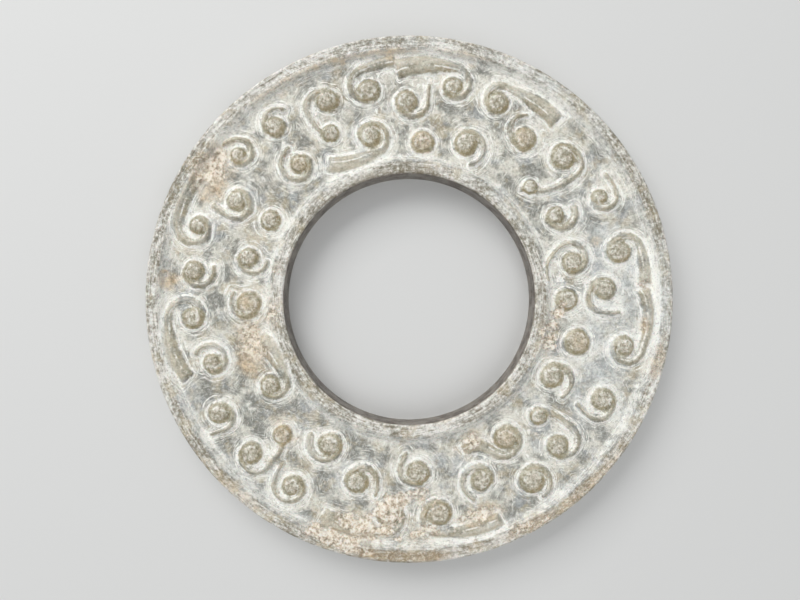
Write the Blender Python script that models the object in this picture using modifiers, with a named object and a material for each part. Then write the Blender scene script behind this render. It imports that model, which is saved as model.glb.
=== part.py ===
"""A jade ring disc that lies on its underside: two raised rims, and a sunk field of carved curls between them.

Metres, +Z up. The origin is at the middle of the underside. A clock angle is in degrees, clockwise from +Y.
"""

import math
from collections import namedtuple

import bmesh
import bpy
from mathutils import Matrix, Vector

# Sizes of the ring
OUTER_RADIUS = 0.0400
BORE_RADIUS = 0.0190
THICKNESS = 0.0050
OUTER_RIM_WIDTH = 0.0022
INNER_RIM_WIDTH = 0.0021
FIELD_DEPTH = 0.0008
RIM_SLOPE = 0.0003
OUTER_ROUNDING = 0.0007
BORE_ROUNDING = 0.0006
RING_STEPS = 60
ROUNDING_STEPS = 2

# Sizes of the carving
CURL_UNIT = 0.0001
EYE_HEIGHT = 0.00075
TAIL_WIDTH = 0.0012
TAIL_HEIGHT = 0.0005
TAIL_CROWN = 0.55
TAIL_INSET = 0.0004
LEAF_START = 0.35
LEAF_FULL = 0.8
BEND_GROWTH = 1.5
TIP_LENGTH = 0.0003
TIP_SHARE = 0.75
GRAIN_RADIUS = 0.0017
GRAIN_HEIGHT = 0.0006
GRAIN_PITCH = 0.0110
GRAIN_ROWS = (0.25, 0.75)
ROOT_DEPTH = 0.0002
EYE_SIDES = 10
EYE_RINGS = 6
GRAIN_SIDES = 8
GRAIN_RINGS = 4
TAIL_STEP = 0.0018
FEWEST_TAIL_STEPS = 4
MERGE_DISTANCE = 0.00001

JADE_COLOUR = (0.36, 0.36, 0.29, 1.0)
JADE_ROUGHNESS = 0.42
SMOOTH_ANGLE = math.radians(32)

FIELD_INNER = BORE_RADIUS + INNER_RIM_WIDTH
FIELD_OUTER = OUTER_RADIUS - OUTER_RIM_WIDTH
FIELD_TOP = THICKNESS - FIELD_DEPTH
FIELD_BOTTOM = FIELD_DEPTH

# One curl: its eye's clock angle and its place across the field, in per cent from the inner rim,
# then the eye's radius. Its tail leaves the eye at `start` (degrees clockwise from outward), winds round
# it through `sweep`, ends that turn `clear` outside the eye, and runs on for `reach`, turning by `bend`,
# to a tip of width `tip`. Lengths are in curl units.
Curl = namedtuple("Curl", "clock place eye start sweep clear reach bend tip", defaults=(0, 0, 0, 0, 0, 0))

CURLS = [
    Curl(11.6, 71, 16.5, 215, -215, 12.5, 92, -32, 31),
    Curl(24.2, 69, 18.5, 236, 125, 10, 94, 22, 27),
    Curl(35.8, 53, 19.5, 215, 105, 17, 6, 0, 7),
    Curl(47.1, 65, 21.5, 0, 94, 12.5, 90, 58, 9),
    Curl(47.1, 24, 12),
    Curl(61.7, 71, 12.5, 205, -205, 14, 25, -12, 8),
    Curl(60.1, 27, 15, 175, -165, 16, 0, 0, 15),
    Curl(77.2, 69, 20, 245, 115, 15, 55, 13, 21),
    Curl(77.1, 26, 17, 113, -235, 13, 55, -70, 7),
    Curl(86.8, 51.5, 19.5, 215, -115, 17, 26, -18, 8),
    Curl(90.1, 17, 18.5),
    Curl(104.3, 31, 22),
    Curl(102.3, 74.5, 16, 258, -250, 11, 97, -46, 21),
    Curl(118.2, 21, 20, 250, 120, 13.5, 15, 12, 8),
    Curl(117.3, 72, 19.5, 340, 125, 13.5, 22, 12, 8),
    Curl(132.2, 32, 14.5),
    Curl(134.6, 63.5, 18.5, 45, -140, 17, 60, -30, 10),
    Curl(145.1, 27, 20, 230, 200, 9, 48, -75, 20),
    Curl(145.7, 72.5, 22, 200, 150, 7.5, 5, 0, 8),
    Curl(158.3, 51, 18, 292, -230, 12, 10, 0, 8),
    Curl(172.0, 70, 21, 170, -165, 11, 95, -28, 25),
    Curl(177.0, 31, 19, 350, 130, 10, 15, 0, 8),
    Curl(185.6, 69.5, 20, 230, 130, 10, 99, 21, 29),
    Curl(196.0, 46.5, 19, 100, 160, 12.5, 16, 12, 9),
    Curl(208.8, 24, 19, 240, 185, 11.5, 10, 0, 13),
    Curl(212.1, 73.5, 17, 188, 250, 12, 26, 18, 8),
    Curl(223.1, 42.5, 16),
    Curl(225.8, 74, 18.5, 40, -135, 14, 58, -28, 11),
    Curl(239.1, 75.5, 17.5, 150, 130, 8.5, 22, 0, 8),
    Curl(238.2, 22, 17, 342, -150, 9, 74, -35, 30),
    Curl(252.0, 61.5, 16, 288, -240, 14, 0, 0, 8),
    Curl(265.0, 71, 18, 175, -175, 21, 94, -36, 24),
    Curl(268.1, 20, 21, 250, 150, 7.5, 0, 0, 6),
    Curl(277.5, 71, 17.5, 330, -160, 13, 5, 0, 9),
    Curl(284.5, 24.5, 16.5, 340, -160, 12, 0, 0, 8),
    Curl(289.2, 77, 14.5, 91, 265, 17, 76, 22, 22),
    Curl(299.7, 18.5, 17),
    Curl(299.8, 54, 17.5, 60, 215, 9.5, 24, 0, 11),
    Curl(310.2, 76.5, 13.5, 270, -235, 11.5, 18, -24, 8),
    Curl(320.9, 32, 16, 69, 275, 13.5, 10, 20, 8),
    Curl(322.1, 72.5, 17.5, 285, 140, 12, 0, 0, 7),
    Curl(337.6, 69, 18.5, 5, -100, 16, 55, -28, 10),
    Curl(334.6, 40.5, 15),
    Curl(346.5, 26.5, 19, 300, 225, 8, 79, 36, 26),
    Curl(349.0, 67, 19, 200, 150, 15.5, 53, 14, 19),
    Curl(359.2, 54, 18.5, 225, -130, 14, 26, 0, 8),
    Curl(4.9, 17, 19),
    Curl(20.0, 24.5, 20, 330, 170, 12.5, 5, 0, 7),
]


def clear_scene():
    for obj in list(bpy.data.objects):
        bpy.data.objects.remove(obj, do_unlink=True)


def new_collection(name):
    collection = bpy.data.collections.new(name)
    bpy.context.scene.collection.children.link(collection)
    return collection


def new_object(name, bm, collection):
    """An object in the collection that holds what the bmesh holds."""
    mesh = bpy.data.meshes.new(name)
    bm.to_mesh(mesh)
    bm.free()
    obj = bpy.data.objects.new(name, mesh)
    collection.objects.link(obj)
    return obj


def toward(degrees, distance):
    """The flat vector of this length at a clock angle."""
    angle = math.radians(degrees)
    return Vector((math.sin(angle), math.cos(angle), 0.0)) * distance


def arc(centre_radius, centre_height, rounding, first, last):
    """Points (radius, height) of a rounded edge, between two angles in degrees from outward."""
    points = []
    for k in range(ROUNDING_STEPS + 1):
        angle = math.radians(first + (last - first) * k / ROUNDING_STEPS)
        points.append((centre_radius + rounding * math.cos(angle), centre_height + rounding * math.sin(angle)))
    return points


def ring_profile():
    """The ring's section: outward along the top, down the outer side, back along the underside, up the bore."""
    outer_centre = OUTER_RADIUS - OUTER_ROUNDING
    bore_centre = BORE_RADIUS + BORE_ROUNDING
    upper_half = [
        *arc(bore_centre, THICKNESS - BORE_ROUNDING, BORE_ROUNDING, 180, 90),
        (FIELD_INNER, THICKNESS),
        (FIELD_INNER + RIM_SLOPE, FIELD_TOP),
        (FIELD_OUTER - RIM_SLOPE, FIELD_TOP),
        (FIELD_OUTER, THICKNESS),
        *arc(outer_centre, THICKNESS - OUTER_ROUNDING, OUTER_ROUNDING, 90, 0),
    ]
    lower_half = [(radius, THICKNESS - height) for radius, height in reversed(upper_half)]
    return upper_half + lower_half


def make_ring(collection):
    """The blank ring, turned from its profile."""
    bm = bmesh.new()
    corners = [bm.verts.new((radius, 0.0, height)) for radius, height in ring_profile()]
    for here, after in zip(corners, corners[1:] + corners[:1]):
        bm.edges.new((here, after))
    ring = new_object("huan_disc", bm, collection)
    turn = ring.modifiers.new("Turned ring", "SCREW")
    turn.axis = "Z"
    turn.steps = RING_STEPS
    turn.render_steps = RING_STEPS
    turn.use_merge_vertices = True
    turn.merge_threshold = MERGE_DISTANCE
    return ring


def smooth_step(share):
    """0 to 1 with level ends, as the share goes from 0 to 1."""
    share = min(max(share, 0.0), 1.0)
    return share * share * (3 - 2 * share)


def curl_centre(curl):
    radius = FIELD_INNER + (FIELD_OUTER - FIELD_INNER) * curl.place / 100
    return toward(curl.clock, radius)


def tail_line(curl):
    """Points (place, share of the length) along the middle of a curl's tail."""
    eye_radius = curl.eye * CURL_UNIT
    first = eye_radius - TAIL_INSET
    last = eye_radius + curl.clear * CURL_UNIT
    run = curl.reach * CURL_UNIT
    wound = abs(math.radians(curl.sweep)) * (first + last) / 2
    wound_steps = max(FEWEST_TAIL_STEPS, round(wound / TAIL_STEP))
    run_steps = round(run / TAIL_STEP)
    middle = curl_centre(curl)
    line = []
    for k in range(wound_steps + 1):
        t = k / wound_steps
        distance = first + (last - first) * smooth_step(t)
        around = curl.clock + curl.start + curl.sweep * t
        line.append((middle + toward(around, distance), t * wound / (wound + run)))
    heading = curl.clock + curl.start + curl.sweep + math.copysign(90, curl.sweep)
    place = line[-1][0]
    for k in range(run_steps):
        t = (k + 0.5) / run_steps
        place = place + toward(heading + curl.bend * t ** BEND_GROWTH, run / run_steps)
        line.append((place, (wound + run * (k + 1) / run_steps) / (wound + run)))
    return line


def tail_sections(curl):
    """Sections (place, side vector, half width) from the eye to a leaf or a thin end, and its narrowed tip."""
    line = tail_line(curl)
    tip_width = curl.tip * CURL_UNIT
    sections = []
    for k, (place, share) in enumerate(line):
        before = line[max(k - 1, 0)][0]
        after = line[min(k + 1, len(line) - 1)][0]
        along = (after - before).normalized()
        side = Vector((along.y, -along.x, 0.0))
        widened = smooth_step((share - LEAF_START) / (LEAF_FULL - LEAF_START))
        width = TAIL_WIDTH + (tip_width - TAIL_WIDTH) * widened
        sections.append((place, side, width / 2))
    end, side, half = sections[-1]
    along = Vector((-side.y, side.x, 0.0))
    sections.append((end + along * TIP_LENGTH, side, half * TIP_SHARE))
    return sections


def make_tail(curl, name, collection):
    """A raised band with sloping sides, lofted along the tail because its width grows and its height doesn't."""
    bm = bmesh.new()
    rings = []
    for place, side, half in tail_sections(curl):
        corners = [(-1.0, -ROOT_DEPTH), (-TAIL_CROWN, TAIL_HEIGHT), (TAIL_CROWN, TAIL_HEIGHT), (1.0, -ROOT_DEPTH)]
        ring = [
            bm.verts.new(place + side * half * across + Vector((0.0, 0.0, FIELD_TOP + height)))
            for across, height in corners
        ]
        rings.append(ring)
    for here, after in zip(rings, rings[1:]):
        for k in range(len(here)):
            following = (k + 1) % len(here)
            bm.faces.new((here[k], here[following], after[following], after[k]))
    bm.faces.new(rings[0])
    bm.faces.new(reversed(rings[-1]))
    bmesh.ops.recalc_face_normals(bm, faces=bm.faces)
    new_object(name, bm, collection)


def make_dome(name, middle, height, radius, rise, sides, rings, collection):
    """A domed boss whose lower half is sunk in the ring; a negative rise hangs it below an underside."""
    bm = bmesh.new()
    root = math.copysign(ROOT_DEPTH, rise)
    shape = Matrix.Diagonal((radius, radius, abs(rise) + ROOT_DEPTH, 1.0))
    place = Matrix.Translation(middle + Vector((0.0, 0.0, height - root)))
    turned = Matrix.Rotation(-math.atan2(middle.x, middle.y), 4, "Z")
    bmesh.ops.create_uvsphere(bm, u_segments=sides, v_segments=rings, radius=1.0, matrix=place @ turned @ shape)
    new_object(name, bm, collection)


def make_curls(collection):
    for number, curl in enumerate(CURLS):
        eye = curl.eye * CURL_UNIT
        make_dome(f"eye {number}", curl_centre(curl), FIELD_TOP, eye, EYE_HEIGHT, EYE_SIDES, EYE_RINGS, collection)
        if curl.sweep:
            make_tail(curl, f"tail {number}", collection)


def make_grains(collection):
    """Rows of plain grains on the underside, each row set half a pitch on from the last."""
    for row, share in enumerate(GRAIN_ROWS):
        radius = FIELD_INNER + (FIELD_OUTER - FIELD_INNER) * share
        count = round(2 * math.pi * radius / GRAIN_PITCH)
        for k in range(count):
            middle = toward((k + row / 2) * 360 / count, radius)
            name = f"grain {row} {k}"
            make_dome(
                name, middle, FIELD_BOTTOM, GRAIN_RADIUS, -GRAIN_HEIGHT, GRAIN_SIDES, GRAIN_RINGS, collection
            )


def join_relief(ring, relief):
    """Makes the ring and everything in the relief collection one solid, and removes the loose pieces."""
    join = ring.modifiers.new("Carving", "BOOLEAN")
    join.operation = "UNION"
    join.operand_type = "COLLECTION"
    join.collection = relief
    join.solver = "EXACT"
    bpy.context.view_layer.update()
    graph = bpy.context.evaluated_depsgraph_get()
    carved = bpy.data.meshes.new_from_object(ring.evaluated_get(graph))
    ring.modifiers.clear()
    ring.data = carved
    for piece in list(relief.objects):
        bpy.data.objects.remove(piece, do_unlink=True)
    bpy.data.collections.remove(relief)


def jade_material():
    material = bpy.data.materials.new("jade")
    material.use_nodes = True
    shader = material.node_tree.nodes["Principled BSDF"]
    shader.inputs["Base Color"].default_value = JADE_COLOUR
    shader.inputs["Roughness"].default_value = JADE_ROUGHNESS
    shader.inputs["Metallic"].default_value = 0.0
    return material


def main():
    clear_scene()
    disc = new_collection("jade huan disc")
    relief = new_collection("carving")
    ring = make_ring(disc)
    make_curls(relief)
    make_grains(relief)
    join_relief(ring, relief)
    ring.data.materials.clear()
    ring.data.materials.append(jade_material())
    ring.data.shade_smooth()
    ring.data.set_sharp_from_angle(angle=SMOOTH_ANGLE)


main()
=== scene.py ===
"""The looks of a jade ring disc: its hand-cut curls, the stone, the crust on it, and the light it lies in.

Lengths are in millimetres until a mesh is made. A clock angle is in degrees, clockwise from +Y as seen from
above.
"""

import math
from collections import namedtuple

import bmesh
import bpy
import numpy as np
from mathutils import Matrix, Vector


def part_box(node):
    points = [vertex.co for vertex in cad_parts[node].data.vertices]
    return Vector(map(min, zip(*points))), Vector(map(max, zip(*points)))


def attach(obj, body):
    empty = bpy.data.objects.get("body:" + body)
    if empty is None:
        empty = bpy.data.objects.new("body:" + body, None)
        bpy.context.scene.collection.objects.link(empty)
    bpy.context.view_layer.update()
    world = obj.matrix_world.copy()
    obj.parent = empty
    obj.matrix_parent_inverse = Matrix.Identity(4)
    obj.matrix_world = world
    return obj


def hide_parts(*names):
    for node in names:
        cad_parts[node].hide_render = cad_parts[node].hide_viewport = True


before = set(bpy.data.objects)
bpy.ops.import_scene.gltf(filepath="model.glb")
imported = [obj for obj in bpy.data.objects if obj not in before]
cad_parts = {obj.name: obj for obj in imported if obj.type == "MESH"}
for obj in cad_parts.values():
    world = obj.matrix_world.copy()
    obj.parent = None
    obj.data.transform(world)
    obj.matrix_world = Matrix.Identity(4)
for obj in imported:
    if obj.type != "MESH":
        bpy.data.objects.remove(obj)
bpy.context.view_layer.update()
node_low, node_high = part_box("huan_disc")

MM = 0.001

# The camera: the picture's size and the pixel of the disc's middle in it, how high the camera stands over the
# upper face, and its focal length in pixels
IMAGE_WIDTH = 800
IMAGE_HEIGHT = 600
DISC_PIXEL = (409.2, 299.2)
CAMERA_HEIGHT = 90.0
CAMERA_FOCAL = 597.0
SENSOR_WIDTH = 36.0

# Sizes of the ring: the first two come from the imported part, the others repeat its source
OUTER_RADIUS = (node_high.x - node_low.x) / 2 / MM
THICKNESS = (node_high.z - node_low.z) / MM
BORE_RADIUS = 19.0
OUTER_RIM_WIDTH = 2.2
INNER_RIM_WIDTH = 2.1
FIELD_DEPTH = 0.8
RIM_SLOPE = 0.45
OUTER_ROUNDING = 0.7
BORE_ROUNDING = 0.6
RIM_CROWN = 0.16
FIELD_INNER = BORE_RADIUS + INNER_RIM_WIDTH
FIELD_OUTER = OUTER_RADIUS - OUTER_RIM_WIDTH

# A curl's eye: a dome with a flat cap. Its foot, its cap and how far its outline leaves a circle are shares
# of its radius.
EYE_HEIGHT = 0.72
EYE_FOOT = 1.04
EYE_CAP = 0.52
EYE_CROWN = 0.05
EYE_OVAL = 0.03
EYE_LOBES = 0.02

# A curl's tail, and the leaf that some tails end in. The leaf opens between two shares of the tail's length.
TAIL_WIDTH = 1.2
TAIL_HEIGHT = 0.52
TAIL_SHOULDER = 0.8
TAIL_START = 0.8
TAIL_STEP = 0.25
TAIL_MARGIN = 4.0
CREST_SHIFT = 0.4
BEND_GROWTH = 1.5
LEAF_START = 0.35
LEAF_FULL = 0.8
LEAF_WIDTH = 1.5
TIP_ROUNDING = 0.25

# The trough at a curl's foot, the line cut round its cap, and the web between its eye and its tail
TROUGH_DEPTH = 0.08
TROUGH_WIDTH = 0.4
TROUGH_PLACE = 0.25
GROOVE_DEPTH = 0.08
GROOVE_WIDTH = 0.13
GROOVE_PLACE = 0.56
PLAIN_GROOVE_PLACE = 0.6
WEB_HEIGHT = 0.2
WEB_REACH = 0.7

# The plain grains of the underside, and where their rows lie between the two rims
GRAIN_RADIUS = 1.7
GRAIN_HEIGHT = 0.6
GRAIN_PITCH = 11.0
GRAIN_CUT = 0.06
GRAIN_ROWS = (0.25, 0.75)

# Past this distance from an edge nothing depends on it
FAR = 3.0

# How finely the mesh is cut. Each round of cutting has how far a straight edge may miss the carving, and the
# length below which no edge is cut. Where the crust is stronger than CRUST_CUT, edges are cut to CRUST_CELL.
STEPS_AROUND = 320
FIELD_CELL = 0.75
UNDER_CELL = 1.1
CRUST_CELL = 0.3
CRUST_CUT = 0.3
REFINED = ((0.04, 0.6), (0.045, 0.3), (0.095, 0.15))

# The side of the carving painted brown, partly stain and partly painted shade, and half the step its fall is
# measured over
LEE_CLOCK = 145.0
LEE_STEP = 0.25

# Unevenness: its height or share, the millimetres from one swell to the next, and its seed
Swell = namedtuple("Swell", "height size seed")

FACE_SWELL = Swell(0.04, 4.5, 1)
FIELD_SWELL = Swell(0.02, 1.7, 2)
CRUST_CRUMBS = Swell(0.12, 0.9, 3)
FINE_CRUMBS = Swell(0.10, 0.45, 4)
UNDER_SWELL = Swell(0.03, 4.5, 5)
PATCH_EDGE = Swell(0.30, 1.6, 31)
PATCH_RAGGED = Swell(0.22, 0.7, 32)
ZONE_EDGE = Swell(0.35, 3.2, 33)
ZONE_RAGGED = Swell(0.20, 1.2, 34)
TAIL_EDGE = Swell(0.05, 1.3, 200)
EYE_SEED = 100

# How far the upper and the lower face are sunk, so that their swells stay within the thickness
UPPER_ROOM = 0.05
LOWER_ROOM = 0.03

# One curl: its eye's clock angle and radius on the ring, then the eye's own radius. Its tail leaves the eye
# at `start` (degrees clockwise from outward), winds round it through `sweep`, ends that turn `clear` outside
# the eye, and runs on for `reach`, turning by `bend`, to a tip of width `tip`.
Curl = namedtuple("Curl", "clock radius eye start sweep clear reach bend tip", defaults=(0, 0, 0, 0, 0, 0))

CURLS = [
    Curl(11.6, 33.0, 1.65, 215, -215, 1.25, 9.2, -32, 3.1),
    Curl(24.2, 32.7, 1.85, 236, 125, 1.00, 9.4, 22, 2.7),
    Curl(35.8, 30.0, 1.95, 215, 105, 1.70, 0.6, 0, 0.7),
    Curl(47.1, 31.9, 2.15, 0, 94, 1.25, 9.0, 58, 0.9),
    Curl(47.1, 25.1, 1.20),
    Curl(61.7, 32.9, 1.25, 205, -205, 1.40, 2.5, -12, 0.8),
    Curl(60.1, 25.6, 1.50, 175, -165, 1.60, 0, 0, 1.5),
    Curl(77.2, 32.6, 2.00, 245, 115, 1.50, 5.5, 13, 2.1),
    Curl(77.1, 25.4, 1.70, 113, -235, 1.30, 5.5, -70, 0.7),
    Curl(86.8, 29.7, 1.95, 215, -115, 1.70, 2.6, -18, 0.8),
    Curl(90.1, 23.9, 1.85),
    Curl(104.3, 26.3, 2.20),
    Curl(102.3, 33.5, 1.60, 258, -250, 1.10, 9.7, -46, 2.1),
    Curl(118.2, 24.6, 2.00, 250, 120, 1.35, 1.5, 12, 0.8),
    Curl(117.3, 33.1, 1.95, 340, 125, 1.35, 2.2, 12, 0.8),
    Curl(132.2, 26.5, 1.45),
    Curl(134.6, 31.7, 1.85, 45, -140, 1.70, 6.0, -30, 1.0),
    Curl(145.1, 25.6, 2.00, 230, 200, 0.90, 4.8, -75, 2.0),
    Curl(145.7, 33.2, 2.20, 200, 150, 0.75, 0.5, 0, 0.8),
    Curl(158.3, 29.6, 1.80, 292, -230, 1.20, 1.0, 0, 0.8),
    Curl(172.0, 32.8, 2.10, 170, -165, 1.10, 9.5, -28, 2.5),
    Curl(177.0, 26.3, 1.90, 350, 130, 1.00, 1.5, 0, 0.8),
    Curl(185.6, 32.7, 2.00, 230, 130, 1.00, 9.9, 21, 2.9),
    Curl(196.0, 28.9, 1.90, 100, 160, 1.25, 1.6, 12, 0.9),
    Curl(208.8, 25.1, 1.90, 240, 185, 1.15, 1.0, 0, 1.3),
    Curl(212.1, 33.4, 1.70, 188, 250, 1.20, 2.6, 18, 0.8),
    Curl(223.1, 28.2, 1.60),
    Curl(225.8, 33.5, 1.85, 40, -135, 1.40, 5.8, -28, 1.1),
    Curl(239.1, 33.7, 1.75, 150, 130, 0.85, 2.2, 0, 0.8),
    Curl(238.2, 24.8, 1.70, 342, -150, 0.90, 7.4, -35, 3.0),
    Curl(252.0, 31.4, 1.60, 288, -240, 1.40, 0, 0, 0.8),
    Curl(265.0, 33.0, 1.80, 175, -175, 2.10, 9.4, -36, 2.4),
    Curl(268.1, 24.4, 2.10, 250, 150, 0.75, 0, 0, 0.6),
    Curl(277.5, 33.0, 1.75, 330, -160, 1.30, 0.5, 0, 0.9),
    Curl(284.5, 25.2, 1.65, 340, -160, 1.20, 0, 0, 0.8),
    Curl(289.2, 34.0, 1.45, 91, 265, 1.70, 7.6, 22, 2.2),
    Curl(299.7, 24.2, 1.70),
    Curl(299.8, 30.1, 1.75, 60, 215, 0.95, 2.4, 0, 1.1),
    Curl(310.2, 33.9, 1.35, 270, -235, 1.15, 1.8, -24, 0.8),
    Curl(320.9, 26.4, 1.60, 69, 275, 1.35, 1.0, 20, 0.8),
    Curl(322.1, 33.2, 1.75, 285, 140, 1.20, 0, 0, 0.7),
    Curl(337.6, 32.6, 1.85, 5, -100, 1.60, 5.5, -28, 1.0),
    Curl(334.6, 27.9, 1.50),
    Curl(346.5, 25.5, 1.90, 300, 225, 0.80, 7.9, 36, 2.6),
    Curl(349.0, 32.3, 1.90, 200, 150, 1.55, 5.3, 14, 1.9),
    Curl(359.2, 30.1, 1.85, 225, -130, 1.40, 2.6, 0, 0.8),
    Curl(4.9, 23.95, 1.90),
    Curl(20.0, 25.2, 2.00, 330, 170, 1.25, 0.5, 0, 0.7),
]

# Crust and stain: the middle of a patch, its half lengths along and across the ring, how strong it is, and
# its tone, from 0 for a pinkish cream to 1 for a russet stain. All are a little lumpy, and the paler ones are
# crusted.
Patch = namedtuple("Patch", "clock radius along across strength tone")

PATCHES = [
    Patch(352.0, 37.7, 7.5, 0.40, 0.75, 0.85),
    Patch(334.0, 37.9, 9.0, 0.35, 0.55, 0.90),
    Patch(12.0, 37.9, 6.0, 0.30, 0.45, 0.90),
    Patch(355.5, 37.2, 1.0, 0.8, 0.80, 0.80),
    Patch(344.5, 37.3, 0.5, 0.5, 0.90, 0.95),
    Patch(303.5, 35.8, 4.4, 2.8, 0.90, 0.60),
    Patch(298.0, 34.0, 2.0, 1.6, 0.60, 0.80),
    Patch(274.5, 36.5, 1.2, 1.6, 0.85, 0.80),
    Patch(276.5, 37.4, 0.25, 0.35, 1.00, 1.00),
    Patch(283.0, 20.4, 1.0, 1.0, 0.75, 0.30),
    Patch(263.0, 20.7, 2.4, 1.2, 0.80, 0.35),
    Patch(254.0, 25.0, 4.0, 2.5, 0.90, 0.62),
    Patch(248.0, 26.6, 2.2, 1.6, 0.80, 0.75),
    Patch(223.6, 27.6, 2.6, 1.8, 0.50, 0.80),
    Patch(86.3, 35.9, 1.0, 1.3, 0.80, 0.30),
    Patch(96.2, 35.9, 1.4, 0.8, 0.80, 0.60),
    Patch(72.6, 29.6, 0.9, 0.9, 0.60, 0.75),
    Patch(103.5, 22.0, 3.4, 2.0, 0.85, 0.25),
    Patch(103.0, 38.7, 3.2, 0.9, 0.75, 0.60),
    Patch(136.0, 39.0, 6.8, 0.8, 0.70, 0.75),
    Patch(152.5, 38.5, 4.8, 1.0, 0.80, 0.55),
    Patch(155.9, 23.5, 1.7, 1.6, 0.78, 0.50),
    Patch(161.6, 34.6, 3.6, 1.5, 0.85, 0.45),
    Patch(180.0, 29.9, 3.8, 1.5, 0.85, 0.15),
    Patch(185.4, 32.4, 2.6, 2.2, 0.95, 0.25),
    Patch(175.6, 35.4, 2.8, 1.6, 0.80, 0.30),
    Patch(173.0, 32.0, 2.2, 1.8, 0.55, 0.35),
    Patch(185.0, 35.8, 4.0, 1.1, 0.80, 0.25),
    Patch(193.5, 35.0, 4.8, 1.8, 0.90, 0.35),
    Patch(197.0, 38.1, 6.0, 1.3, 0.95, 0.30),
    Patch(180.0, 38.9, 8.0, 0.9, 0.50, 1.00),
    Patch(222.0, 38.9, 5.0, 0.8, 0.45, 0.80),
    Patch(4.9, 23.95, 1.6, 1.6, 0.60, 0.60),
    Patch(320.9, 26.4, 1.3, 1.3, 0.50, 0.70),
    Patch(268.1, 24.4, 1.7, 1.7, 0.60, 0.80),
    Patch(94.0, 23.2, 1.2, 1.2, 0.80, 0.45),
    Patch(104.3, 26.3, 1.7, 1.7, 0.50, 0.75),
    Patch(145.1, 25.6, 1.5, 1.5, 0.45, 0.75),
    Patch(35.8, 30.0, 1.3, 1.3, 0.45, 0.70),
]

# Broad zones of the stone: the middle of a zone, its half lengths along and across the ring, and how far it
# is bleached (above 0) or darkened (below 0). Some of the darkening is painted shade.
Zone = namedtuple("Zone", "clock radius along across amount")

ZONES = [
    Zone(92.0, 31.5, 22.0, 7.5, 0.70),
    Zone(88.0, 38.4, 20.0, 1.4, 0.35),
    Zone(350.0, 32.0, 18.0, 6.0, -0.30),
    Zone(300.0, 27.0, 10.0, 4.0, -0.30),
    # Painted shade, with some darker stone: the next two darken the outer rim along its lower side
    Zone(182.0, 38.9, 14.0, 1.5, -0.95),
    Zone(143.0, 39.2, 10.0, 0.9, -0.50),
    Zone(22.0, 38.9, 24.0, 1.0, 0.55),
    Zone(318.0, 38.2, 14.0, 0.9, -0.35),
    Zone(225.0, 36.8, 18.0, 0.9, 0.50),
    Zone(60.0, 38.6, 6.0, 1.2, -0.40),
    Zone(205.0, 38.8, 5.0, 1.2, -0.30),
    Zone(48.0, 20.3, 8.0, 0.8, 0.70),
    Zone(92.0, 20.4, 6.0, 0.6, -0.75),
    Zone(140.0, 20.5, 8.0, 0.6, -0.45),
    # Painted shade: the bore's upper edge, which faces away from the lamps
    Zone(345.0, 19.3, 16.0, 0.8, -0.90),
]


def toward(degrees, distance):
    """The x and y steps of this length at a clock angle."""
    angle = math.radians(degrees)
    return np.array((math.sin(angle), math.cos(angle))) * distance


def smooth(low, high, value):
    """0 below the low value, 1 above the high one, with a smooth step between them."""
    t = np.clip((value - low) / (high - low), 0.0, 1.0)
    return t * t * (3 - 2 * t)


def uneven(swell, x, y, number=0):
    """Smooth random swells round 0. A number gives each of several likes its own."""
    lattice = 64
    table = np.random.default_rng(swell.seed + number).uniform(-1.0, 1.0, (lattice, lattice))
    u = x / swell.size + lattice
    v = y / swell.size + lattice
    i = np.floor(u).astype(int)
    j = np.floor(v).astype(int)
    a = smooth(0, 1, u - i)
    b = smooth(0, 1, v - j)
    right = (i + 1) % lattice
    above = (j + 1) % lattice
    i = i % lattice
    j = j % lattice
    lower = table[i, j] * (1 - a) + table[right, j] * a
    upper = table[i, above] * (1 - a) + table[right, above] * a
    return swell.height * (lower * (1 - b) + upper * b)


def tail_line(curl):
    """Points along the middle of a curl's tail: x, y and width."""
    first = curl.eye * TAIL_START
    last = curl.eye + curl.clear
    wound = abs(math.radians(curl.sweep)) * (first + last) / 2
    wound_steps = max(4, round(wound / TAIL_STEP))
    run_steps = round(curl.reach / TAIL_STEP)
    middle = toward(curl.clock, curl.radius)
    line = []
    for k in range(wound_steps + 1):
        t = k / wound_steps
        distance = first + (last - first) * t * t * (3 - 2 * t)
        around = curl.clock + curl.start + curl.sweep * t
        line.append((middle + toward(around, distance), t * wound))
    heading = curl.clock + curl.start + curl.sweep + math.copysign(90, curl.sweep)
    place = line[-1][0]
    for k in range(run_steps):
        t = (k + 0.5) / run_steps
        place = place + toward(heading + curl.bend * t ** BEND_GROWTH, curl.reach / run_steps)
        line.append((place, wound + curl.reach * (k + 1) / run_steps))
    length = wound + curl.reach
    growth = curl.tip - TAIL_WIDTH
    return [(*place, TAIL_WIDTH + growth * smooth(LEAF_START, LEAF_FULL, s / length)) for place, s in line]


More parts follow.
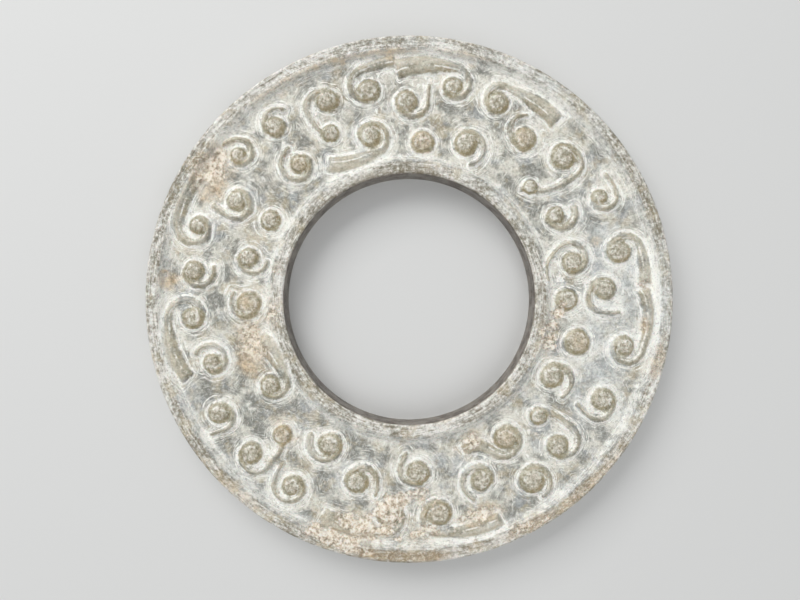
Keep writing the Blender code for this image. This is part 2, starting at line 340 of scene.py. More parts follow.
class Relief:
    """What the carver left at each point of a face: its height, and how far it is from each kind of edge."""

    def __init__(self, x, y):
        self.x = x
        self.y = y
        self.height = np.zeros_like(x)
        self.cut = np.zeros_like(x)
        self.edge = np.full_like(x, FAR)
        self.eye = np.full_like(x, FAR)
        self.across = np.full_like(x, FAR)
        self.leaf = np.zeros_like(x)
        self.eye_edge = np.full_like(x, FAR)
        self.tail_edge = np.full_like(x, FAR)
        for number, curl in enumerate(CURLS):
            self.carve_eye(number, curl)
            if curl.sweep:
                self.carve_tail(number, curl)
        web = smooth(WEB_REACH, 0.1, self.eye_edge) * smooth(WEB_REACH, 0.1, self.tail_edge)
        self.height = np.maximum(self.height, WEB_HEIGHT * web)

    def near(self, centre, distance):
        """The numbers of the points in a square round a centre."""
        return np.nonzero((abs(self.x - centre[0]) < distance) & (abs(self.y - centre[1]) < distance))[0]

    def raise_to(self, chosen, height, edge):
        """Stands a shape up at the chosen points, unless a higher one already stands there."""
        self.height[chosen] = np.maximum(self.height[chosen], height)
        self.edge[chosen] = np.minimum(self.edge[chosen], edge)

    def carve_eye(self, number, curl):
        """A dome with a flat cap, and the spiral line that parts the cap from the tail's first turn."""
        random = np.random.default_rng(EYE_SEED + number)
        centre = toward(curl.clock, curl.radius)
        chosen = self.near(centre, curl.eye + FAR)
        dx = self.x[chosen] - centre[0]
        dy = self.y[chosen] - centre[1]
        angle = np.arctan2(dx, dy)
        distance = np.hypot(dx, dy)
        lean = random.uniform(0, 2 * math.pi, 3)
        oval = EYE_OVAL * np.sin(2 * angle + lean[0])
        lobes = EYE_LOBES * np.sin(3 * angle + lean[1])
        outline = curl.eye * (1 + oval + lobes)
        edge = distance - outline
        crown = EYE_CROWN * np.clip(1 - (distance / (EYE_CAP * curl.eye)) ** 2, 0, 1)
        self.raise_to(chosen, EYE_HEIGHT * smooth(EYE_FOOT, EYE_CAP, distance / outline) + crown, edge)
        self.eye_edge[chosen] = np.minimum(self.eye_edge[chosen], edge)
        self.eye[chosen] = np.minimum(self.eye[chosen], distance / outline)
        turn = math.copysign(1, curl.sweep) if curl.sweep else 1
        start = curl.clock + curl.start if curl.sweep else math.degrees(lean[2])
        after = (turn * (np.degrees(angle) - start)) % 360
        sweep = abs(curl.sweep)
        t = np.clip(after / max(sweep, 1), 0, 1)
        tail = curl.eye * TAIL_START + (curl.eye * (1 - TAIL_START) + curl.clear) * t * t * (3 - 2 * t)
        line = np.where(after < sweep, tail - TAIL_WIDTH / 2, curl.eye * GROOVE_PLACE)
        fade = np.where(after < sweep, 1.0, smooth(200, 300, after))
        if not curl.sweep:
            line = curl.eye * PLAIN_GROOVE_PLACE
            fade = smooth(0, 60, after) * smooth(330, 270, after)
        groove = np.exp(-(((distance - line) / GROOVE_WIDTH) ** 2)) * fade * smooth(0.1, -0.2, edge)
        self.cut[chosen] = np.maximum(self.cut[chosen], groove)

    def carve_tail(self, number, curl):
        """A rounded band along the tail's line, which opens into a pillowed leaf where the tip is broad."""
        line = np.array(tail_line(curl))
        middle = (line[:, :2].min(0) + line[:, :2].max(0)) / 2
        chosen = self.near(middle, np.ptp(line[:, :2], axis=0).max() / 2 + TAIL_MARGIN)
        x, y = self.x[chosen], self.y[chosen]
        side = math.copysign(1, curl.sweep)
        edge = np.full_like(x, FAR)
        half = np.full_like(x, TAIL_WIDTH / 2)
        across = np.full_like(x, FAR)
        for here, after in zip(line, line[1:]):
            along = after[:2] - here[:2]
            length = math.hypot(*along)
            dx = x - here[0]
            dy = y - here[1]
            t = np.clip((dx * along[0] + dy * along[1]) / length ** 2, 0, 1)
            away = np.hypot(dx - t * along[0], dy - t * along[1])
            width = (here[2] + (after[2] - here[2]) * t) / 2
            closer = away - width < edge
            edge = np.where(closer, away - width, edge)
            half = np.where(closer, width, half)
            across = np.where(closer, side * (dx * along[1] - dy * along[0]) / length, across)
        if curl.tip > LEAF_WIDTH:
            end = line[-1]
            ahead = end[:2] - line[-2][:2]
            ahead = ahead / np.hypot(*ahead)
            past = (x - end[0]) * ahead[0] + (y - end[1]) * ahead[1]
            close = np.hypot(x - end[0], y - end[1]) < curl.tip
            edge = np.where(close, np.maximum(edge, past - TIP_ROUNDING), edge)
        edge = edge + uneven(TAIL_EDGE, x, y, number)
        shoulder = np.minimum(half, TAIL_SHOULDER) * (1 - CREST_SHIFT * np.clip(across / half, -1, 1))
        self.raise_to(chosen, TAIL_HEIGHT * smooth(-0.05, 1, -edge / shoulder), edge)
        nearest = edge < self.tail_edge[chosen]
        self.across[chosen] = np.where(nearest, across, self.across[chosen])
        self.leaf[chosen] = np.where(nearest, smooth(0.65, 0.95, half), self.leaf[chosen])
        self.tail_edge[chosen] = np.minimum(self.tail_edge[chosen], edge)


def carved_height(x, y):
    """Heights above the sunk field, without the fine wear: what decides where the mesh is cut finely."""
    relief = Relief(x, y)
    cut = relief.cut * smooth(0.0, 0.3, relief.height)
    return relief.height - GROOVE_DEPTH * cut + rim_height(np.hypot(x, y))


def rim_height(radius):
    """Heights of both rims above the sunk field, each falling a little to its outer side."""
    inner = smooth(FIELD_INNER + RIM_SLOPE, FIELD_INNER, radius)
    outer = smooth(FIELD_OUTER - RIM_SLOPE, FIELD_OUTER, radius)
    crown = smooth(FIELD_OUTER + 0.4, OUTER_RADIUS, radius) + smooth(FIELD_INNER - 0.6, BORE_RADIUS, radius)
    return FIELD_DEPTH * np.maximum(inner, outer) - RIM_CROWN * crown


def grain_places():
    """The middles of the plain grains on the underside, in rows round the ring."""
    places = []
    for row, share in enumerate(GRAIN_ROWS):
        radius = FIELD_INNER + (FIELD_OUTER - FIELD_INNER) * share
        count = round(2 * math.pi * radius / GRAIN_PITCH)
        places += [toward((k + row / 2) * 360 / count, radius) for k in range(count)]
    return places


def grain_relief(x, y):
    """The underside's domed grains: heights, and each point's distance from a middle in grain radii."""
    height = np.zeros_like(x)
    share = np.full_like(x, FAR)
    for centre in grain_places():
        chosen = np.nonzero((abs(x - centre[0]) < FAR) & (abs(y - centre[1]) < FAR))[0]
        distance = np.hypot(x[chosen] - centre[0], y[chosen] - centre[1])
        rise = smooth(EYE_FOOT, EYE_CAP, distance / GRAIN_RADIUS)
        ring = GRAIN_CUT * np.exp(-(((distance - PLAIN_GROOVE_PLACE * GRAIN_RADIUS) / GROOVE_WIDTH) ** 2))
        trough = TROUGH_DEPTH * np.exp(-(((distance - GRAIN_RADIUS - TROUGH_PLACE) / TROUGH_WIDTH) ** 2))
        height[chosen] += GRAIN_HEIGHT * rise - ring * (rise > 0) - trough
        share[chosen] = np.minimum(share[chosen], distance / GRAIN_RADIUS)
    return height, share


def arc(centre_radius, centre_height, rounding, first, last, steps):
    """Points of a rounded edge in the section, between two angles."""
    angles = np.radians(np.linspace(first, last, steps + 1))
    return [(centre_radius + rounding * math.cos(a), centre_height + rounding * math.sin(a)) for a in angles]


def blank_section():
    """The ring's closed section without rims: along the top, down the outer side, back and up the bore."""
    outer = OUTER_RADIUS - OUTER_ROUNDING
    bore = BORE_RADIUS + BORE_ROUNDING

    def across(cell):
        return np.linspace(bore, outer, round((outer - bore) / cell) + 1)[1:-1]

    wall = np.linspace(THICKNESS - OUTER_ROUNDING, OUTER_ROUNDING, 6)[1:-1]
    return [
        *arc(bore, THICKNESS - BORE_ROUNDING, BORE_ROUNDING, 180, 90, 3),
        *[(radius, THICKNESS) for radius in across(FIELD_CELL)],
        *arc(outer, THICKNESS - OUTER_ROUNDING, OUTER_ROUNDING, 90, 0, 5),
        *[(OUTER_RADIUS, height) for height in wall],
        *arc(outer, OUTER_ROUNDING, OUTER_ROUNDING, 0, -90, 5),
        *[(radius, 0.0) for radius in across(UNDER_CELL)[::-1]],
        *arc(bore, BORE_ROUNDING, BORE_ROUNDING, 270, 180, 3),
        *[(BORE_RADIUS, height) for height in wall[::-1]],
    ]


def blank_ring():
    """The blank as a bmesh of quads, in millimetres."""
    bm = bmesh.new()
    section = blank_section()
    rows = []
    for k in range(STEPS_AROUND):
        angle = 2 * math.pi * k / STEPS_AROUND
        rows.append([bm.verts.new((r * math.sin(angle), r * math.cos(angle), z)) for r, z in section])
    for row, following in zip(rows, rows[1:] + rows[:1]):
        for k in range(len(section)):
            after = (k + 1) % len(section)
            bm.faces.new((row[k], row[after], following[after], following[k]))
    return bm


def places(bm):
    """The places of all the mesh's points, one row each."""
    return np.array([vert.co for vert in bm.verts])


def flat_parts(co):
    """Which points lie on the upper face and which on the underside, rather than on an edge."""
    top = co[:, 2] > THICKNESS - 0.001
    under = co[:, 2] < 0.001
    return top, under


def face_heights(co):
    """Heights of the carving at points of either face, and 0 on the edges."""
    heights = np.zeros(len(co))
    top, under = flat_parts(co)
    heights[top] = carved_height(co[top, 0], co[top, 1])
    x, y = co[under, 0], co[under, 1]
    heights[under] = grain_relief(x, y)[0] + rim_height(np.hypot(x, y))
    return heights


def refine(bm, tolerance, shortest):
    """Cuts each face in four where a straight edge would miss the carving by more than the tolerance."""
    bm.verts.index_update()
    bm.edges.index_update()
    co = places(bm)
    ends = np.array([(edge.verts[0].index, edge.verts[1].index) for edge in bm.edges])
    a, b = co[ends[:, 0]], co[ends[:, 1]]
    heights = face_heights(co)
    missed = abs(face_heights((a + b) / 2) - (heights[ends[:, 0]] + heights[ends[:, 1]]) / 2)
    length = np.linalg.norm(a - b, axis=1)
    top, under = flat_parts((a + b) / 2)
    marked = (missed > tolerance) & (length > shortest) & (top | under)
    crusted = crust_masks(*((a + b) / 2)[:, :2].T)[0] > CRUST_CUT
    marked |= crusted & top & (length > max(shortest, CRUST_CELL))
    chosen = set()
    for face in bm.faces:
        if any(marked[edge.index] for edge in face.edges):
            chosen.update(edge for edge in face.edges if length[edge.index] > shortest / 2)
    bmesh.ops.subdivide_edges(
        bm,
        edges=list(chosen),
        cuts=1,
        use_grid_fill=True,
        use_single_edge=True,
        quad_corner_type="INNER_VERT",
    )


def spot(x, y, place):
    """How far each point lies from the middle of a patch or zone, as a share of its half lengths."""
    turned = (np.degrees(np.arctan2(x, y)) - place.clock + 180) % 360 - 180
    along = np.radians(turned) * place.radius
    across = np.hypot(x, y) - place.radius
    return np.hypot(along / place.along, across / place.across)


def bleached_and_shaded_mask(x, y):
    """How far the stone is bleached or darkened at each point; some of the darkening is painted shade."""
    bleached_and_shaded = np.zeros_like(x)
    ragged = uneven(ZONE_EDGE, x, y) + uneven(ZONE_RAGGED, x, y)
    for zone in ZONES:
        bleached_and_shaded += zone.amount * smooth(1.3, 0.2, spot(x, y, zone) + ragged)
    return np.clip(bleached_and_shaded, -1, 1)


def fall_to_shaded_side_mask(x, y):
    """How steeply the carving falls towards the lower right, where it is painted brown: stain and painted
    shade.
    """
    step = toward(LEE_CLOCK, LEE_STEP)
    fall = Relief(x - step[0], y - step[1]).height - Relief(x + step[0], y + step[1]).height
    return np.clip(fall / (2 * LEE_STEP), 0, 1)


def crust_masks(x, y):
    """How much crust lies at each point, and its tone."""
    ragged = uneven(PATCH_EDGE, x, y) + uneven(PATCH_RAGGED, x, y)
    amount = np.zeros_like(x)
    tone = np.zeros_like(x)
    for patch in PATCHES:
        inside = patch.strength * smooth(1.4, 0.4, spot(x, y, patch) + ragged)
        tone = tone + inside * patch.tone
        amount = amount + inside
    tone = np.where(amount > 0.001, tone / np.maximum(amount, 0.001), 0.0)
    return np.clip(amount, 0, 1), tone


def finish_faces(co):
    """Moves each point to its place on the carved ring, and returns the masks for the stone's finish."""
    x, y, z = co.T
    radius = np.hypot(x, y)
    top, under = flat_parts(co)
    relief = Relief(x, y)
    upper = z > THICKNESS / 2
    rims = rim_height(radius)
    field = (radius > FIELD_INNER) & (radius < FIELD_OUTER)
    trough = TROUGH_DEPTH * np.exp(-(((relief.edge - TROUGH_PLACE) / TROUGH_WIDTH) ** 2)) * (relief.edge > 0)
    cut = relief.cut * smooth(0.0, 0.3, relief.height)
    crust, tone = crust_masks(x, y)
    swells = uneven(FACE_SWELL, x, y) + uneven(FIELD_SWELL, x, y) * (rims < 0.01)
    crumbs = crust * (uneven(CRUST_CRUMBS, x, y) + uneven(FINE_CRUMBS, x, y))
    carved = np.where(field, relief.height - GROOVE_DEPTH * cut - trough, 0.0)
    above = carved + rims + swells - UPPER_ROOM + crumbs
    lift = np.where(top, np.minimum(above - FIELD_DEPTH, 0.0), 0.0)
    grains, share = grain_relief(x, y)
    below = grains * field + rims + uneven(UNDER_SWELL, x, y) - LOWER_ROOM
    lift = np.where(under, np.maximum(FIELD_DEPTH - below, 0.0), lift)
    moved = co.copy()
    moved[:, 2] += lift
    share = np.where(upper, relief.eye, share)
    edge = np.where(upper, relief.edge, (share - 1) * GRAIN_RADIUS)
    masks = {
        "edge": np.clip(edge, -FAR, FAR),
        "across": np.where(upper, np.clip(relief.across, -FAR, FAR), FAR),
        "eye": np.clip(share, 0, FAR),
        "leaf": np.where(upper, relief.leaf, 0.0),
        "raised": np.clip(np.where(upper, relief.height, grains) / TAIL_HEIGHT, 0, 1) * field,
        "cut": np.where(field & upper, cut, 0.0),
        "crust": np.where(upper, crust, 0.0),
        "tone": tone,
        "bleached_and_shaded": np.where(z > THICKNESS / 3, bleached_and_shaded_mask(x, y), 0.0),
        "fall_to_shaded_side": np.where(field & upper, fall_to_shaded_side_mask(x, y), 0.0),
    }
    return moved, masks


def make_disc():
    """The carved ring as one closed mesh, with the masks that its material reads."""
    bm = blank_ring()
    for tolerance, shortest in REFINED:
        refine(bm, tolerance, shortest)
    co, masks = finish_faces(places(bm))
    mesh = bpy.data.meshes.new("carved_disc")
    bm.to_mesh(mesh)
    bm.free()
    mesh.vertices.foreach_set("co", (co * MM).ravel())
    for name, values in masks.items():
        mesh.attributes.new(name, "FLOAT", "POINT").data.foreach_set("value", values.astype(np.float32))
    mesh.shade_smooth()
    mesh.update()
    disc = bpy.data.objects.new("carved_disc", mesh)
    bpy.context.scene.collection.objects.link(disc)
    return disc


def srgb(red, green, blue):
    """A colour as the eye reads it, 0 to 255, in the shader's linear numbers."""
    shares = [channel / 255 for channel in (red, green, blue)]
    return (*[s / 12.92 if s <= 0.04045 else ((s + 0.055) / 1.055) ** 2.4 for s in shares], 1.0)


# The stone's colours, as the eye reads them
GROUND_DARK = srgb(134, 134, 126)
GROUND_PALE = srgb(217, 214, 201)
GROUND_BLUE = srgb(172, 178, 184)
GROUND_TAN = srgb(192, 177, 143)
CURL_DARK = srgb(148, 141, 114)
CURL_PALE = srgb(196, 190, 166)
CURL_STAIN = srgb(158, 136, 96)
# Brown for the slopes facing the lower right: partly stain, partly painted shade
LEE_STAIN_AND_SHADE = srgb(168, 146, 92)
CAP_DARK = srgb(148, 140, 116)
CAP_PALE = srgb(214, 207, 190)
RIM_DARK = srgb(132, 125, 106)
RIM_PALE = srgb(230, 227, 219)
SHADE = srgb(82, 77, 60)
# White of the residue, also used for the painted glint along the tails
DUST_AND_GLINT = srgb(254, 253, 245)
BLEACHED = srgb(230, 234, 232)
# Olive brown for the darkened zones, partly painted shade
DARKENED_AND_SHADED = srgb(122, 108, 82)
CRUST_CREAM = srgb(253, 247, 234)
CRUST_GAP = srgb(154, 138, 116)
CRUST_PEACH = srgb(224, 207, 182)
CRUST_ORANGE = srgb(226, 196, 148)
CRUST_BROWN = srgb(150, 120, 80)
# The bore's wall: brown stone, darkened further as painted shade
BORE_DARK_AND_SHADED = srgb(80, 69, 57)
BORE_PALE = srgb(136, 128, 118)

# The floor, and the lamps and sky over the disc, in metres and watts
FLOOR_SIZE = 1.2
FLOOR_GREY = srgb(214, 214, 212)
Lamp = namedtuple("Lamp", "name place size watts")
LAMPS = (
    Lamp("window", (-0.24, 0.36, 0.34), (0.5, 0.3), 2.3),
    Lamp("fill", (0.1, -0.3, 0.5), (0.5, 0.5), 0.9),
)
SKY_COLOUR = (0.95, 0.97, 1.0, 1.0)
SKY_STRENGTH = 0.455

# The marks in the stone: millimetres from one to the next, how many finer ones lie in them, and how strong
# those are. The last five are drawn out into lines.
Mark = namedtuple("Mark", "size detail roughness")

BROAD = Mark(7.0, 2.0, 0.55)
CHILL = Mark(4.5, 2.0, 0.6)
TINGE = Mark(3.2, 3.0, 0.7)
POOL = Mark(2.6, 2.0, 0.5)
CLOUD = Mark(2.0, 4.0, 0.65)
CRUMB = Mark(1.4, 5.0, 0.75)
PATCHY = Mark(1.0, 3.0, 0.7)
CHUNK = Mark(0.7, 4.0, 0.8)
SPECK = Mark(0.5, 5.0, 0.85)
GRAIN = Mark(0.16, 3.0, 0.8)
RIM_LINE = Mark(0.2, 3.0, 0.6)
STROKE = Mark(0.16, 3.0, 0.6)
HATCH = Mark(0.16, 3.0, 0.7)
STREAK = Mark(0.12, 2.0, 0.5)
BRUSH = Mark(0.10, 2.0, 0.5)

# How the lines lie: the angle of the straight ones and how many times longer than broad they are, then the
# breadth of those beside an edge as a share of their length
HATCH_LIE = (100, 4.0)
STREAK_LIE = (52, 9.0)
BRUSH_LIE = (-38, 9.0)
STROKE_SHARE = 0.10
RIM_LINE_SHARE = 0.08

# How far the foot of the rims and the residue's line wander
FOOT_WANDER = 0.9
RESIDUE_WANDER = 0.8

# The surface: roughness of the bare polish, depth of the finest marks, how much light goes in and how deep,
# and the stone's index of refraction
POLISH = 0.32
MARK_DEPTH = 0.04
GLOW_SHARE = 0.08
GLOW_DEPTH = 0.5
STONE_IOR = 1.6


class Amount:
    """A number that changes over the surface. Sums on it add Math nodes to its recipe."""

    def __init__(self, recipe, socket):
        self.recipe = recipe
        self.socket = socket

    def math(self, operation, first, second, clamp=False):
        settings = {"operation": operation, "use_clamp": clamp}
        node = self.recipe.node("ShaderNodeMath", settings, {0: first, 1: second})
        return Amount(self.recipe, node.outputs[0])

    def __add__(self, other):
        return self.math("ADD", self, other)

    def __radd__(self, other):
        return self.math("ADD", other, self)

    def __sub__(self, other):
        return self.math("SUBTRACT", self, other)

    def __rsub__(self, other):
        return self.math("SUBTRACT", other, self)

    def __mul__(self, other):
        return self.math("MULTIPLY", self, other)

    def __rmul__(self, other):
        return self.math("MULTIPLY", other, self)

    def clamped(self):
        """The same number, kept from 0 to 1."""
        return self.math("ADD", self, 0.0, clamp=True)

    def between(self, low, high):
        """0 at the low value, 1 at the high one, and a smooth step between them."""
        node = self.recipe.node(
            "ShaderNodeMapRange",
            {"interpolation_type": "SMOOTHSTEP"},
            {"Value": self, "From Min": low, "From Max": high},
        )
        return Amount(self.recipe, node.outputs[0])


class Recipe:
    """A material's nodes, added one at a time."""

    def __init__(self, name):
        self.material = bpy.data.materials.new(name)
        self.material.use_nodes = True
        self.tree = self.material.node_tree
        self.shader = self.tree.nodes["Principled BSDF"]
        self.position = self.node("ShaderNodeTexCoord", {}, {}).outputs["Object"]

    def node(self, kind, settings, sockets):
        """A new node: its settings first, then the values or links of its sockets."""
        node = self.tree.nodes.new(kind)
        for name, value in settings.items():
            setattr(node, name, value)
        for name, value in sockets.items():
            self.put(node.inputs[name], value)
        return node

    def put(self, socket, value):
        """Links a socket to an amount or an output, or sets it to a plain value."""
        if isinstance(value, Amount):
            value = value.socket
        if isinstance(value, bpy.types.NodeSocket):
            self.tree.links.new(value, socket)
        else:
            socket.default_value = value

    def mask(self, name):
        """What the carving says at each point of the mesh."""
        return Amount(self, self.node("ShaderNodeAttribute", {"attribute_name": name}, {}).outputs["Fac"])

    def noise(self, mark, position=None):
        """Cloudy noise from 0 to 1 with the size and fineness of a mark."""
        sockets = {
            "Vector": position or self.position,
            "Scale": 1 / (mark.size * MM),
            "Detail": mark.detail,
            "Roughness": mark.roughness,
        }
        return Amount(self, self.node("ShaderNodeTexNoise", {}, sockets).outputs["Fac"])

    def stretched(self, degrees, ratio):
        """The position turned by an angle and squeezed along it, so that noise read there makes streaks."""
        sockets = {
            "Vector": self.position,
            "Rotation": (0.0, 0.0, math.radians(degrees)),
            "Scale": (ratio, 1.0, 1.0),
        }
        return self.node("ShaderNodeMapping", {"vector_type": "TEXTURE"}, sockets).outputs["Vector"]

    def from_axis(self):
        """Millimetres from the ring's axis."""
        sockets = {0: self.position, 1: (1.0, 1.0, 0.0)}
        flat = self.node("ShaderNodeVectorMath", {"operation": "MULTIPLY"}, sockets).outputs["Vector"]
        length = self.node("ShaderNodeVectorMath", {"operation": "LENGTH"}, {0: flat}).outputs["Value"]
        return Amount(self, length) * (1 / MM)

    def beside(self, distance, share):
        """A place that starts with the distance from an edge, so that noise read there follows the edge."""
        sockets = {"Vector": self.position, "Scale": share}
        squeezed = self.node("ShaderNodeVectorMath", {"operation": "SCALE"}, sockets).outputs["Vector"]
        along = self.node("ShaderNodeSeparateXYZ", {}, {"Vector": squeezed}).outputs
        height = self.node("ShaderNodeSeparateXYZ", {}, {"Vector": self.position}).outputs["Z"]
        sockets = {"X": distance * MM + Amount(self, height), "Y": along["X"], "Z": along["Y"]}
        return self.node("ShaderNodeCombineXYZ", {}, sockets).outputs["Vector"]

    def least(self, first, second):
        """The smaller of two amounts."""
        return first.math("MINIMUM", first, second)

    def blend(self, first, second, amount):
        """The first colour, with the second over it by an amount."""
        node = self.node("ShaderNodeMix", {"data_type": "RGBA"}, {0: amount, 6: first, 7: second})
        return node.outputs[2]

    def shade(self, **values):
        """Sets the shader's own sockets."""
        for name, value in values.items():
            self.put(self.shader.inputs[name.replace("_", " ")], value)


class CarvedStone(Recipe):
    """Grey-green polished stone: olive on the curls, white residue round them, and crust in patches."""

    def __init__(self, name):
        super().__init__(name)
        self.edge = self.mask("edge")
        self.across = self.mask("across")
        self.eye = self.mask("eye")
        self.raised = self.mask("raised")
        self.leaf = self.mask("leaf")
        self.cut = self.mask("cut")
        self.crust = self.mask("crust")
        self.tone = self.mask("tone")
        self.bleached_and_shaded = self.mask("bleached_and_shaded")
        self.fall_to_shaded_side = self.mask("fall_to_shaded_side")
        self.radius = self.from_axis()
        self.broad = self.noise(BROAD)
        self.chill = self.noise(CHILL)
        self.tinge = self.noise(TINGE)
        self.pool = self.noise(POOL)
        self.cloud = self.noise(CLOUD)
        self.crumb = self.noise(CRUMB)
        self.patchy = self.noise(PATCHY)
        self.chunk = self.noise(CHUNK)
        self.speck = self.noise(SPECK)
        self.grain = self.noise(GRAIN)
        self.along_rim = self.noise(RIM_LINE, self.beside(self.radius, RIM_LINE_SHARE))
        self.strokes = self.noise(STROKE, self.beside(self.edge, STROKE_SHARE))
        self.hatch = self.noise(HATCH, self.stretched(*HATCH_LIE))
        streak = self.noise(STREAK, self.stretched(*STREAK_LIE))
        brush = self.noise(BRUSH, self.stretched(*BRUSH_LIE))
        self.scratch = (streak.between(0.58, 0.70) + brush.between(0.60, 0.72)).clamped()
        nearest_rim = self.least(self.radius - FIELD_INNER, FIELD_OUTER - self.radius)
        self.foot = nearest_rim + (self.cloud - 0.5) * FOOT_WANDER
        self.rim = self.foot.between(-0.15, -0.55)
        self.cap = self.eye.between(0.74, 0.55)
        self.tail = self.eye.between(1.0, 1.2)
        self.on_curl = self.raised.between(0.05, 0.5)
        self.off_curl = 1 - self.on_curl

    def ground(self):
        """The sunk field: grey, with bluish pools and warm tinges."""
        away = self.edge.between(0.5, 1.8)
        pale = self.broad * 0.3 + self.pool * 0.8 + self.cloud * 0.2 + self.strokes * 0.2 - away * 0.06
        colour = self.blend(GROUND_DARK, GROUND_PALE, pale.between(0.61, 0.83))
        colour = self.blend(colour, GROUND_BLUE, self.chill.between(0.52, 0.64) * 0.4)
        return self.blend(colour, GROUND_TAN, self.tinge.between(0.50, 0.66) * 0.55)

    def curls(self, ground):
        """Olive eyes, tails in the ground's colour, and leaves with a pale and a brown side, partly painted
        highlight and shade.
        """
        ring = (1 - self.eye.between(0.9, 1.02)) * self.eye.between(0.5, 0.7)
        pale = self.cloud * 0.5 + self.strokes * 0.5 + self.speck * 0.3 - ring * 0.05
        colour = self.blend(CURL_DARK, CURL_PALE, pale.between(0.48, 0.78))
        colour = self.blend(colour, ground, self.tail * (0.40 + self.chill.between(0.4, 0.6) * 0.35))
        # The leaves' outer side pale and inner side brown: partly the stone's colour, partly painted
        # highlight and shade
        pale_and_lit_side = self.leaf * self.edge.between(-0.1, -0.5) * self.across.between(0.1, -0.3)
        stained_and_shaded_side = self.leaf * self.across.between(-0.2, 0.3) * self.cloud.between(0.40, 0.6)
        colour = self.blend(colour, CAP_PALE, pale_and_lit_side * 0.5)
        return self.blend(colour, CURL_STAIN, stained_and_shaded_side * 0.35)

    def caps(self):
        """The flat tops of the eyes, hatched and specked."""
        pale = self.speck * 0.4 + self.hatch * 0.4 + self.patchy * 0.2
        return self.blend(CAP_DARK, CAP_PALE, pale.between(0.40, 0.60))

    def rims(self):
        """The plain rims, with marks drawn out along them."""
        pale = self.broad * 0.3 + self.cloud * 0.25 + self.patchy * 0.1 + self.along_rim * 0.4
        colour = self.blend(RIM_DARK, RIM_PALE, pale.between(0.44, 0.61))
        return self.blend(colour, GROUND_TAN, self.tinge.between(0.50, 0.66) * 0.5)

    def bare(self):
        """The stone's colour, its stains, bleached and darkened zones, and painted shade on lower-right
        slopes and some zones.
        """
        ground = self.ground()
        colour = self.blend(ground, self.curls(ground), self.on_curl)
        colour = self.blend(colour, self.caps(), self.cap * 0.9)
        stained = self.on_curl * (1 - self.cap) * self.patchy.between(0.50, 0.64)
        colour = self.blend(colour, CURL_STAIN, stained * (0.45 - self.tail * 0.2))
        # Painted shade, with brown stain, on the slopes falling towards the lower right, away from the lamps
        stain_and_shade = self.fall_to_shaded_side.between(0.08, 0.45) * self.cloud.between(0.3, 0.6)
        colour = self.blend(colour, LEE_STAIN_AND_SHADE, stain_and_shade * (0.55 - self.tail * 0.35))
        colour = self.blend(colour, self.rims(), self.rim)
        bleached = self.bleached_and_shaded.between(0.0, 1.0) * (self.cloud * 1.4 - 0.1) * (1 - self.on_curl * 0.9)
        colour = self.blend(colour, BLEACHED, bleached.clamped())
        # Darkened zones: partly darker stone, partly painted shade on the outer rim's lower side and the
        # bore's upper edge
        darkened = self.bleached_and_shaded.between(0.0, -1.0) * (self.cloud * 1.6 - 0.05)
        return self.blend(colour, DARKENED_AND_SHADED, darkened.clamped())

    def residue(self):
        """How much white residue lies by the outlines, rims and cut lines, with a painted highlight along the
        tails.
        """
        wander = self.edge + (self.patchy - 0.5) * RESIDUE_WANDER
        outline = wander.between(-0.12, 0.04) * wander.between(0.58, 0.20)
        second = wander.between(0.75, 0.9) * wander.between(1.15, 1.0) * self.broad.between(0.5, 0.6)
        halo = self.edge.between(-0.05, 0.15) * self.edge.between(1.5, 0.4)
        dust_and_glint = outline * (self.strokes * 2.0 + self.cloud * 1.2 - 1.05)
        dust_and_glint = dust_and_glint + second * self.strokes.between(0.45, 0.6) * 0.7
        lines = self.strokes.between(0.44, 0.62) * 0.5
        dust_and_glint = dust_and_glint + halo * (lines + self.pool.between(0.42, 0.58) * 0.14 + self.bleached_and_shaded * 0.12)
        dust_and_glint = dust_and_glint * (1 - self.rim)
        ledge = self.foot.between(-0.35, 0.2) * self.foot.between(1.4, 0.6)
        dust_and_glint = dust_and_glint + ledge * (self.along_rim * 1.4 + self.patchy * 0.8 - 0.6) * self.off_curl
        dust_and_glint = dust_and_glint + self.strokes.between(0.55, 0.66) * self.off_curl * 0.5
        # Painted highlight: a broken white glint along the inner side of each tail, outside the eye
        tail_glint_band = self.across.between(0.15, 0.28) * self.across.between(0.52, 0.38)
        painted_tail_glint = tail_glint_band * self.edge.between(0.0, -0.15) * self.eye.between(1.0, 1.1)
        dust_and_glint = dust_and_glint + painted_tail_glint * self.cloud.between(0.42, 0.56) * 0.8
        dust_and_glint = dust_and_glint + self.cut * (self.patchy.between(0.4, 0.55) * 0.8)
        return dust_and_glint.clamped()

    def crusted(self):
        """Where crust stands as crumbs."""
        return (self.crust * 1.3 + self.crumb * 2.6 - 2.05).between(0.0, 0.35) * self.tone.between(0.75, 0.55)

    def specks(self, colour):
        """Fine pale specks and scratches, and fine dark pits."""
        pale = self.speck.between(0.50, 0.63) * (0.36 + self.rim * 0.24 + self.cap * 0.1)
        pale = pale + self.scratch * 0.24
        dark = self.speck.between(0.49, 0.35) * 0.42 + self.grain.between(0.46, 0.32) * 0.42
        colour = self.blend(colour, DUST_AND_GLINT, pale.clamped())
        return self.blend(colour, SHADE, dark.clamped())

    def crust_over(self, colour, crusted):
        """Russet stain in the patches, and cream crumbs with darker gaps on the paler ones."""
        lumpy = self.crumb * 0.6 + self.speck * 0.4
        stain = self.blend(CRUST_BROWN, CRUST_ORANGE, lumpy.between(0.40, 0.56))
        stained = self.crust * (self.cloud * 1.5 - 0.05) * self.tone.between(0.1, 0.6)
        colour = self.blend(colour, stain, stained.clamped() * 0.7)
        crumbly = self.chunk * 0.6 + self.speck * 0.4
        crumbs = self.blend(CRUST_GAP, CRUST_PEACH, crumbly.between(0.40, 0.50))
        crumbs = self.blend(crumbs, CRUST_CREAM, crumbly.between(0.47, 0.55))
        return self.blend(colour, crumbs, crusted * 0.85)


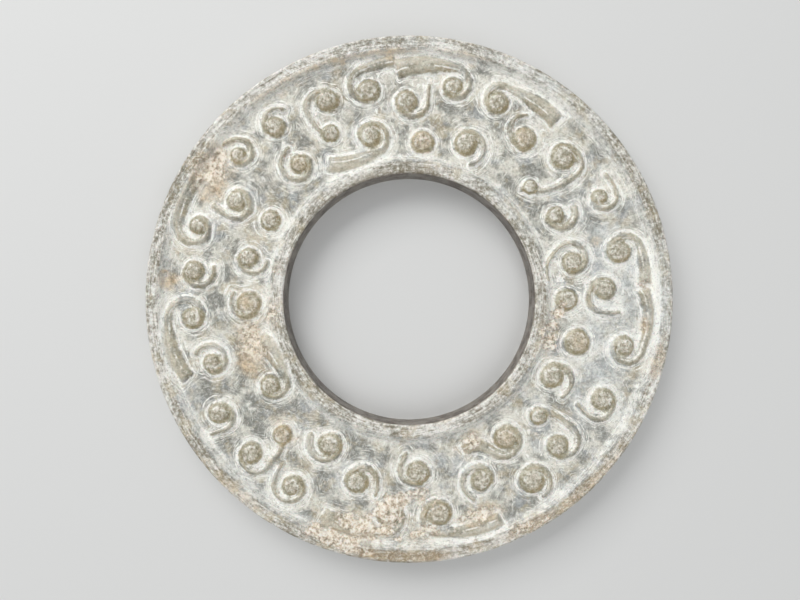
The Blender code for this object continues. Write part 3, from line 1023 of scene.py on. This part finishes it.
def jade():
    """The carved stone's finished material."""
    stone = CarvedStone("jade")
    dust_and_glint = stone.residue()
    crusted = stone.crusted()
    colour = stone.blend(stone.bare(), DUST_AND_GLINT, dust_and_glint * 0.95)
    colour = stone.crust_over(stone.specks(colour), crusted)
    # The bore's wall dark brown: partly the stone's brown, partly painted shade on a wall that the lamps only
    # graze
    in_bore = stone.radius.between(BORE_RADIUS + 0.12, BORE_RADIUS + 0.02)
    bore = stone.blend(BORE_DARK_AND_SHADED, BORE_PALE, stone.cloud.between(0.35, 0.65))
    colour = stone.blend(colour, bore, in_bore)
    rough = POLISH + dust_and_glint * 0.25 + crusted * 0.35 + stone.scratch * 0.1
    height = stone.grain * 0.5 + stone.speck * 0.8 + stone.strokes * stone.off_curl * 0.5
    height = height + (stone.crumb * 3.0 + stone.chunk * 3.0) * crusted - stone.scratch * 0.6
    sockets = {"Height": height, "Distance": MARK_DEPTH * MM, "Strength": 1.0}
    bump = stone.node("ShaderNodeBump", {}, sockets)
    stone.shade(Base_Color=colour, Roughness=rough, Normal=bump.outputs["Normal"])
    stone.shade(Subsurface_Weight=GLOW_SHARE, Subsurface_Scale=GLOW_DEPTH * MM, IOR=STONE_IOR)
    return stone.material


def floor():
    """A plain pale floor under the disc."""
    bm = bmesh.new()
    bmesh.ops.create_grid(bm, x_segments=1, y_segments=1, size=FLOOR_SIZE)
    mesh = bpy.data.meshes.new("floor")
    bm.to_mesh(mesh)
    bm.free()
    ground = bpy.data.objects.new("floor", mesh)
    bpy.context.scene.collection.objects.link(ground)
    paint = Recipe("floor")
    paint.shade(Base_Color=FLOOR_GREY, Roughness=0.8)
    mesh.materials.append(paint.material)


def hang(lamp):
    """A soft square lamp, turned to the disc."""
    light = bpy.data.lights.new(lamp.name, "AREA")
    light.shape = "RECTANGLE"
    light.size, light.size_y = lamp.size
    light.energy = lamp.watts
    hung = bpy.data.objects.new(lamp.name, light)
    hung.location = lamp.place
    aim = Vector((0.0, 0.0, THICKNESS * MM)) - Vector(lamp.place)
    hung.rotation_euler = aim.to_track_quat("-Z", "Y").to_euler()
    bpy.context.scene.collection.objects.link(hung)


def studio():
    """Soft daylight from the far side, a weak fill from near, and a pale sky."""
    for lamp in LAMPS:
        hang(lamp)
    world = bpy.data.worlds.new("studio")
    world.use_nodes = True
    sky = world.node_tree.nodes["Background"]
    sky.inputs["Color"].default_value = SKY_COLOUR
    sky.inputs["Strength"].default_value = SKY_STRENGTH
    bpy.context.scene.world = world
    bpy.context.scene.view_settings.view_transform = "Standard"


def camera():
    """Straight above the disc, as near as the view into the bore says, and a little to one side."""
    eye = bpy.data.cameras.new("camera")
    eye.sensor_width = SENSOR_WIDTH
    eye.lens = CAMERA_FOCAL * eye.sensor_width / IMAGE_WIDTH
    eye.clip_start = 0.005
    view = bpy.data.objects.new("camera", eye)
    scale = CAMERA_FOCAL / CAMERA_HEIGHT
    aside = (IMAGE_WIDTH / 2 - DISC_PIXEL[0]) / scale
    down = (DISC_PIXEL[1] - IMAGE_HEIGHT / 2) / scale
    view.location = (aside * MM, down * MM, (THICKNESS + CAMERA_HEIGHT) * MM)
    bpy.context.scene.collection.objects.link(view)
    bpy.context.scene.camera = view


disc = make_disc()
disc.data.materials.append(jade())
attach(disc, "root")
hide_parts("huan_disc")
floor()
studio()
camera()
